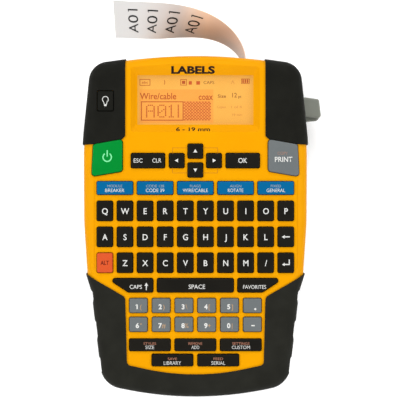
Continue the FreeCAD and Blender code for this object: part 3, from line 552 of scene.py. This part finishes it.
two_line_legends(
    "label_type_keys",
    (
        ("BREAKER", 9.8, "MODULE", 7.6),
        ("CODE 39", 9.5, "CODE 128", 9.2),
        ("WIRE/CABLE", 12.9, "FLAGS", 5.6),
        ("ROTATE", 7.9, "ALIGN", 5.9),
        ("GENERAL", 9.5, "FIXED", 5.3),
    ),
    "pale_ink", "blue_key", cap=1.75, second_cap=1.3, drop=1.24, rise=0.98,
)
two_line_legends(
    "format_keys",
    (("SIZE", 4.5, "STYLES", 6.4), ("ADD", 4.0, "REMOVE", 7.0), ("CUSTOM", 9.3, "SETTINGS", 8.75)),
    "rust_ink", "black_key", cap=1.7, second_cap=1.3, drop=1.2, rise=0.75,
)
two_line_legends(
    "library_keys",
    (("LIBRARY", 8.9, "SAVE", 4.7), ("SERIAL", 7.1, "FEED", 4.9)),
    "rust_ink", "black_key", cap=1.8, second_cap=1.25, drop=1.4, rise=0.75,
)


def place_of(node):
    low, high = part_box(node)
    return (low[0] + high[0]) / 2 / MM, (low[1] + high[1]) / 2 / MM, high[2] / MM


# A key, its ink and its slot, then its words: (word, x and y from the key's middle, cap, width, weight).
SINGLE_LEGENDS = (
    ("escape_clear_key", "white_ink", "black_key", (
        ("ESC", -5.0, 0.0, 2.1, 4.6, 0.002), ("CLR", 4.6, 0.0, 2.1, 4.6, 0.002),
    )),
    ("ok_key", "white_ink", "black_key", (("OK", 0.0, 0.0, 2.45, 4.6, 0.008),)),
    ("alt_key", "brown_ink", "orange_key", (("ALT", 0.0, 0.0, 2.05, 4.3, 0.015),)),
    ("space_key", "white_ink", "black_key", (("SPACE", 0.8, -0.7, 2.15, 8.5, 0.004),)),
    ("favourites_key", "white_ink", "black_key", (("FAVORITES", -1.7, -0.8, 1.9, 11.8, 0.0),)),
)


def single_legends():
    for node, key, slot, words in SINGLE_LEGENDS:
        x, y, top = place_of(node)
        legend = Print(node.replace("key", "legend"), node, key, slot)
        for word, right, up, cap, width, weight in words:
            legend.text(word, x + right, y + up, top, cap, width, weight)
        legend.done()


single_legends()


def caps_legend():
    """The word and an arrow beside it."""
    x, y, top = place_of("caps_key")
    legend = Print("caps_legend", "caps_key", "white_ink", "black_key")
    legend.text("CAPS", -30.6, y - 0.75, top, 2.0, 6.3, 0.004)
    arrow = [[(-0.95, 0.35), (0.95, 0.35), (0, 2.0)], bar(-0.22, -1.9, 0.22, 0.45)]
    legend.add(shifted(arrow, -25.2, y - 0.6), top).done()


caps_legend()


def print_key_legend():
    x, y, top = 45.4, 34.6, place_of("print_key")[2]
    legend = Print("print_legend", "print_key", "white_ink", "grey_key")
    legend.text("PRINT", x, y, top, 2.5, 9.0, 0.012).done()
    legend = Print("copy_legend", "print_key", "copy_ink", "grey_key")
    legend.text("COPY", x - 0.5, y + 3.1, top, 1.5, 5.2).done()


print_key_legend()


def icon_legends():
    """Arrows, backspace, enter, the power sign and the lamp sign."""
    tip = [[(1.0, 0.0), (-0.7, 1.0), (-0.7, -1.0)]]
    turns = {"right_key": 0, "up_key": 90, "left_key": 180, "down_key": 270}
    for node, turn in turns.items():
        x, y, top = place_of(node)
        c, s = math.cos(math.radians(turn)), math.sin(math.radians(turn))
        turned = [[(c * px - s * py, s * px + c * py) for px, py in outline] for outline in tip]
        arrow = Print(node.replace("key", "arrow"), node, "white_ink", "black_key")
        arrow.add(shifted(turned, x, y), top).done()

    x, y, top = place_of("backspace_key")
    arrow = [[(-2.1, 0), (-0.6, -0.9), (-0.6, 0.9)], bar(-0.7, -0.28, 2.0, 0.28)]
    Print("backspace_arrow", "backspace_key", "white_ink", "black_key").add(shifted(arrow, x, y), top).done()

    x, y, top = place_of("enter_key")
    head = [(-2.0, -0.85), (-0.6, -1.75), (-0.6, 0.05)]
    arrow = [head, bar(-0.7, -1.13, 2.0, -0.57), bar(1.44, -0.6, 2.0, 1.7)]
    Print("enter_arrow", "enter_key", "white_ink", "black_key").add(shifted(arrow, x, y), top).done()

    top = place_of("power_key")[2]
    sign = ring(0, 0, 2.15, 0.62, start=125, sweep=290) + [bar(-0.31, 0.3, 0.31, 3.6)]
    Print("power_sign", "power_key", "mint_ink", "green_key").add(shifted(sign, -45.3, 35.7), top).done()

    x, y, top = place_of("light_button")
    lamp = ring(0, 0.75, 1.5, 0.36, start=-50, sweep=280)
    lamp += stroke([(-0.96, -0.4), (-0.66, -1.2), (-0.66, -1.8)], 0.36)
    lamp += stroke([(0.96, -0.4), (0.66, -1.2), (0.66, -1.8)], 0.36)
    lamp += [bar(-0.62, -2.7, 0.62, -1.7)]
    Print("lamp_sign", "light_button", "white_ink", "black_rubber").add(shifted(lamp, x, y), top).done()


icon_legends()

# ---------------------------------------------------------------- print, and painted crease shade, on the housing


def housing_print():
    lines = frame_lines(-11.9, 27.5, 11.6, 40.7, 0.28)
    Print("arrow_frame", "labeller", "line_ink", "housing_yellow").add(lines, FACE).done()
    # Painted shade: thin darker bars along both sides of the deck stand for the shade in the crease at the
    # bevel's foot.
    edges = Print("deck_lines", "labeller", "edge_ink", "housing_yellow")
    edges.add([bar(x - 0.35, -21.5, x + 0.35, 24.0) for x in (-52.0, 52.6)], FACE)
    edges.lay_on("front_housing").done()
    title = Print("title_print", "labeller", "dark_ink", "housing_yellow")
    title.text("LABELS", -1.2, 80.8, FACE, 3.4, 22.5, 0.045).lay_on("front_housing").done()
    sizes = Print("sizes_print", "labeller", "dark_ink", "housing_yellow")
    sizes.text("6 - 19 mm", -1.2, 50.2, FACE, 1.9, 17.5, 0.022).lay_on("front_housing").done()


housing_print()

# ---------------------------------------------------------------- display


GLASS = place_of("display_module")[2]
LINES = GLASS + Print.THICK  # what is drawn lies over the lit field, and the hatch over that
SPREAD = (FACE + CAMERA_ABOVE_FACE - GLASS) / CAMERA_ABOVE_FACE  # the display lies lower than the face
FIELD = (-28.9, 53.3, 9.3, 70.7)
REST_OF_LABEL = (-6.1, 54.6, 8.0, 64.5)


class Shown(Print):
    """Print on the display, laid out as it lines up with the window from straight above."""

    def __init__(self, name, key):
        super().__init__(name, "labeller", key, "display")

    def done(self):
        for v in self.bm.verts:
            v.co.x = (VIEW_CENTRE[0] + (v.co.x / MM - VIEW_CENTRE[0]) * SPREAD) * MM
            v.co.y = (VIEW_CENTRE[1] + (v.co.y / MM - VIEW_CENTRE[1]) * SPREAD) * MM
        return super().done()


def display_segments():
    """The signs in the status row, the label's kind, and the frame of its text."""
    dark = Shown("display_segments", "segment")
    dark.add(frame_lines(-28.7, 72.6, -23.2, 76.0, 0.32), LINES)
    dark.text("abc", -25.95, 74.3, LINES, 1.2, 3.2, 0.01)
    dark.add(stroke([(-16.1, 73.1), (-15.7, 73.8), (-15.9, 75.4)], 0.3), LINES)
    dark.add(frame_lines(-7.7, 72.7, -4.4, 75.9, 0.3), LINES)
    dark.add([bar(-6.9, 73.5, -5.2, 75.1)], LINES)
    dark.add(frame_lines(23.6, 73.6, 28.0, 76.2, 0.3), LINES)
    dark.add([bar(24.2 + 1.15 * i, 74.0, 25.0 + 1.15 * i, 75.8) for i in range(3)], LINES)
    dark.text("Wire/cable", -19.2, 67.2, LINES, 3.2, 18.8, 0.012)
    dark.text("coax", 5.4, 66.9, LINES, 3.2, 7.4, 0.014)
    dark.add(frame_lines(-28.0, 54.6, -6.1, 64.5, 0.45), LINES)
    dark.done()


def display_side():
    """The fainter words and signs in the status row and at the right."""
    brown = Shown("display_side", "segment_brown")
    brown.text("CAPS", 7.0, 74.2, LINES, 1.5, 5.5).text("Size", 13.7, 67.2, LINES, 1.6, 4.2, 0.008)
    brown.text("12", 20.2, 67.7, LINES, 2.3, 2.4, 0.004).text("pt", 22.9, 67.0, LINES, 1.4, 1.6, 0.004).done()
    squares = Shown("display_squares", "segment_deep")
    squares.add([bar(-3.4, 73.1, -1.8, 74.9), bar(0.5, 73.1, 2.4, 74.9)], LINES).done()
    faint = Shown("display_faint", "segment_faint")
    faint.text("Copies", 13.4, 61.6, LINES, 1.2, 4.6).text("1 of 4", 21.2, 61.6, LINES, 1.3, 5.4)
    faint.text("19 mm", 21.6, 57.6, LINES, 1.2, 5.0)
    faint.add(stroke([(18.5, 73.4), (19.3, 75.2), (20.1, 73.4)], 0.25), LINES).done()


DOT_LETTERS = {
    "A": ("01110", "10001", "10001", "10001", "11111", "10001", "10001", "10001", "10001"),
    "0": ("01110", "10001", "10001", "10011", "10101", "11001", "10001", "10001", "01110"),
    "1": ("010", "110", "010", "010", "010", "010", "010", "010", "111"),
    "|": ("1", "1", "1", "1", "1", "1", "1", "1", "1"),
}


def display_text():
    """The label's text in square dots, with the cursor after it."""
    across, down, wide, high = 0.96, 0.75, 0.68, 0.6  # the steps between dots, and a dot's size
    dots = Shown("display_pixels", "segment")
    for letter, left in (("A", -25.4), ("0", -19.5), ("1", -13.7), ("|", -9.1)):
        for row, line in enumerate(DOT_LETTERS[letter]):
            for i, bit in enumerate(line):
                if bit == "1":
                    x, y = left + i * across, 62.2 - row * down
                    dots.add([bar(x, y, x + wide, y + high)], LINES)
    dots.done()


def display_rest():
    """The rest of the label: a paler block under staggered rows of short marks."""
    Shown("display_rest", "segment_mid").add([bar(*REST_OF_LABEL)], LINES).done()
    across, up, wide, high = 1.56, 0.76, 0.95, 0.55  # the steps between marks, and a mark's size
    hatch = Shown("display_hatch", "segment_deep")
    for j in range(13):
        for i in range(9):
            x, y = -6.0 + i * across + across / 2 * (j % 2), 54.7 + j * up
            hatch.add([bar(x, y, min(x + wide, REST_OF_LABEL[2]), y + high)], LINES + Print.THICK)
    hatch.done()


Shown("active_field", "field").add([bar(*FIELD)], GLASS).done()
display_segments()
display_side()
display_text()
display_rest()

# ---------------------------------------------------------------- the printed label

TAPE_START = Vector((26.6, 84.5, 16.0))
CURL_LENGTH = 94.1
CURL_STEPS = 120
TAPE_THICKNESS = 0.25


def bend(share):
    """Curvature and twist of the free label, per millimetre, at a share of its length."""
    curvature = 0.0593 - 0.1152 * share + 0.057 * share**2
    return curvature, 0.015 + 0.0706 * share - 0.0922 * share**2


def label_frames():
    """Middle line, facing and width directions along the free label."""
    place = TAPE_START.copy()
    along, facing, across = Vector((0, 1, 0)), Vector((-1, 0, 0)), Vector((0, 0, 1))
    frames = [(place, facing, across)]
    step = CURL_LENGTH / CURL_STEPS
    for i in range(CURL_STEPS):
        curvature, twist = bend((i + 0.5) / CURL_STEPS)
        turn = along * twist + across * curvature
        rotation = Matrix.Rotation(turn.length * step, 3, turn)
        following = rotation @ along
        place = place + (along + following) * (step / 2)
        along, facing, across = following, rotation @ facing, rotation @ across
        frames.append((place, facing, across))
    return frames


LABEL_FRAMES = label_frames()


def on_label(u, v, out):
    """A point of the free label: u along it, v across it and out from its printed face."""
    share = min(max(u / CURL_LENGTH * CURL_STEPS, 0.0), CURL_STEPS - 1e-6)
    i = int(share)
    f = share - i
    (p, n, b), (q, m, c) = LABEL_FRAMES[i], LABEL_FRAMES[i + 1]
    place, facing, across = p.lerp(q, f), n.lerp(m, f), b.lerp(c, f)
    return place + across * v + facing * (TAPE_THICKNESS / 2 + out)


WORD_PLACES = (81.0, 67.6, 54.2, 40.8)  # along the label, from the exit
WORD_LIFT = 0.07  # over the label's face, so that no letter cuts into its bend


def label_words():
    """The label's text, four times, laid on the curled strip with its letters' tops towards the free end."""
    words = Print("label_print", "labeller", "black_ink", "white_tape")
    for u0 in WORD_PLACES:
        flat = Print("flat", "labeller", "black_ink", "white_tape")
        flat.text("A", -4.2, 0, 0, 6.7, 4.7, 0.0).text("0", 0.5, 0, 0, 6.9, 4.0, 0.0)
        flat.add(one(5.2, 0, 6.7, 0.75), 0)
        word = flat.bm
        for v in word.verts:
            v.co.z = 0.0
        bmesh.ops.remove_doubles(word, verts=word.verts, dist=WELD)
        cut(word, (0, 1, 0), [k * 0.5 * MM for k in range(-8, 9)])
        cut(word, (1, 0, 0), [k * MM for k in range(-8, 9)])
        for v in word.verts:
            v.co = on_label(u0 + v.co.y / MM, v.co.x / MM, WORD_LIFT) * MM
        mesh = bpy.data.meshes.new("word")
        word.to_mesh(mesh)
        word.free()
        words.bm.from_mesh(mesh)
        bpy.data.meshes.remove(mesh)
    words.done()


label_words()

# ---------------------------------------------------------------- floor, lights and camera


def build_floor():
    bm = bmesh.new()
    bmesh.ops.create_grid(bm, x_segments=2, y_segments=2, size=2.0)
    mesh = bpy.data.meshes.new("floor")
    bm.to_mesh(mesh)
    bm.free()
    floor = bpy.data.objects.new("floor", mesh)
    bpy.context.scene.collection.objects.link(floor)
    surface = Surface("floor_white", (0.94, 0.94, 0.94, 1), 0.7, 0.1)
    surface.vary_colour(400, (0.96, 0.96, 0.96, 1))
    surface.set(Emission_Color=(1, 1, 1, 1), Emission_Strength=0.16)
    mesh.materials.append(surface.material)


def area_light(name, place, size, power):
    data = bpy.data.lights.new(name, "AREA")
    data.shape, data.size, data.energy = "SQUARE", size, power
    lamp = bpy.data.objects.new(name, data)
    bpy.context.scene.collection.objects.link(lamp)
    lamp.location = place
    lamp.rotation_euler = (-Vector(place)).to_track_quat("-Z", "Y").to_euler()


def build_lights():
    world = bpy.data.worlds.new("studio")
    world.use_nodes = True
    tree = world.node_tree
    place = tree.nodes.new("ShaderNodeTexCoord")
    split = tree.nodes.new("ShaderNodeSeparateXYZ")
    ramp = tree.nodes.new("ShaderNodeValToRGB")
    stops = ((0.0, 0.66), (0.45, 0.66), (0.8, 0.22), (1.0, 0.1))  # grey values from the horizon to overhead
    for i, (position, value) in enumerate(stops):
        stop = ramp.color_ramp.elements[i] if i < 2 else ramp.color_ramp.elements.new(position)
        stop.position, stop.color = position, (value, value, value, 1)
    tree.links.new(place.outputs["Generated"], split.inputs[0])
    tree.links.new(split.outputs["Z"], ramp.inputs["Fac"])
    tree.links.new(ramp.outputs["Color"], tree.nodes["Background"].inputs["Color"])
    tree.nodes["Background"].inputs["Strength"].default_value = 1.0
    bpy.context.scene.world = world
    area_light("left_light", (-0.95, 0.3, 1.05), 0.8, 12.0)
    area_light("right_light", (0.95, 0.05, 1.0), 0.8, 9.0)
    area_light("top_light", (0.1, 1.05, 0.95), 0.8, 9.5)
    area_light("front_light", (-0.1, -1.0, 1.05), 0.8, 9.0)


def build_camera():
    data = bpy.data.cameras.new("camera")
    data.sensor_width = SENSOR
    data.lens = SENSOR * CAMERA_ABOVE_FACE / VIEW_WIDTH
    camera = bpy.data.objects.new("camera", data)
    bpy.context.scene.collection.objects.link(camera)
    camera.location = (VIEW_CENTRE[0] * MM, VIEW_CENTRE[1] * MM, (FACE + CAMERA_ABOVE_FACE) * MM)
    bpy.context.scene.camera = camera


build_floor()
build_lights()
build_camera()
bpy.context.scene.view_settings.view_transform = "Standard"
